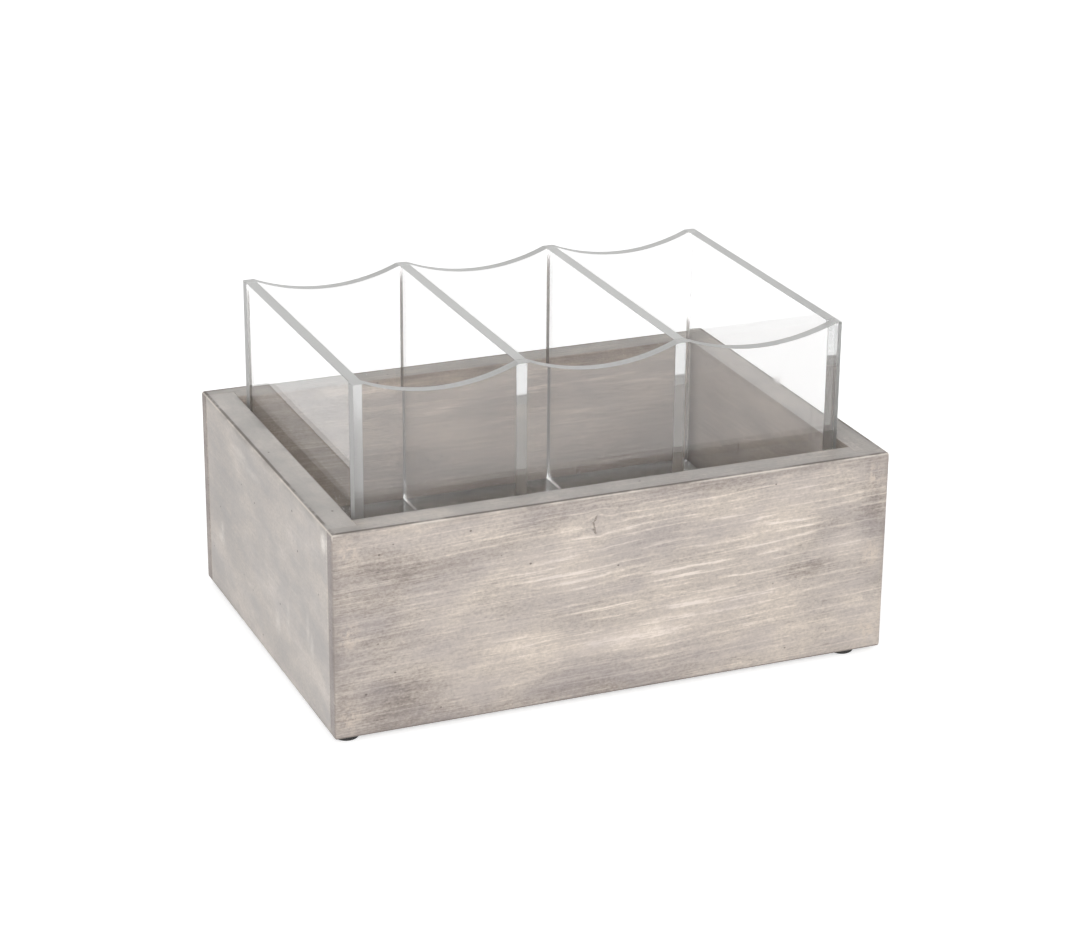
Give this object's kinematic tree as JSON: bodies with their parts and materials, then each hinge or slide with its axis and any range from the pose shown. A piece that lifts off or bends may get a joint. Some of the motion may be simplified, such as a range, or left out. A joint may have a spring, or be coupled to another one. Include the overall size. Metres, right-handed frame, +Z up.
{
  "type": "flatware caddy",
  "caption": "Low open timber box on small feet, with a loose clear tray of upright bins that stands above the rim and lifts out.",
  "frame": {"origin": "on the table, under the middle of the box, level with the undersides of the feet", "axes": "+X along the long front board to the right, +Y to the back, +Z up"},
  "size_m": [0.305, 0.22, 0.1798],
  "materials": {
    "greywashed_pine": "thin grey wash rubbed into pine, sanded arrises, matt",
    "floor_plywood": "thin plywood with the same grey wash, matt",
    "clear_acrylic": "clear cast acrylic, polished faces, satin sawn edges",
    "black_rubber": "matt black bumper",
    "brad_steel": "plain wire, hidden in the joints"
  },
  "bodies": {
    "box": {"front_board": "greywashed_pine", "rear_board": "greywashed_pine", "left_board": "greywashed_pine", "right_board": "greywashed_pine", "floor_panel": "floor_plywood", "corner_brads": "brad_steel", "foot_front_left": "black_rubber", "foot_front_right": "black_rubber", "foot_rear_left": "black_rubber", "foot_rear_right": "black_rubber"},
    "insert": {"insert_front_sheet": "clear_acrylic", "insert_rear_sheet": "clear_acrylic", "insert_left_wall": "clear_acrylic", "insert_right_wall": "clear_acrylic", "insert_divider_1": "clear_acrylic", "insert_divider_2": "clear_acrylic", "insert_base": "clear_acrylic"}
  },
  "joints": [
    {"name": "insert_lift", "type": "slide", "parent": "box", "child": "insert", "axis": [0, 0, 1], "range_m": [0, 0.09]}
  ]
}
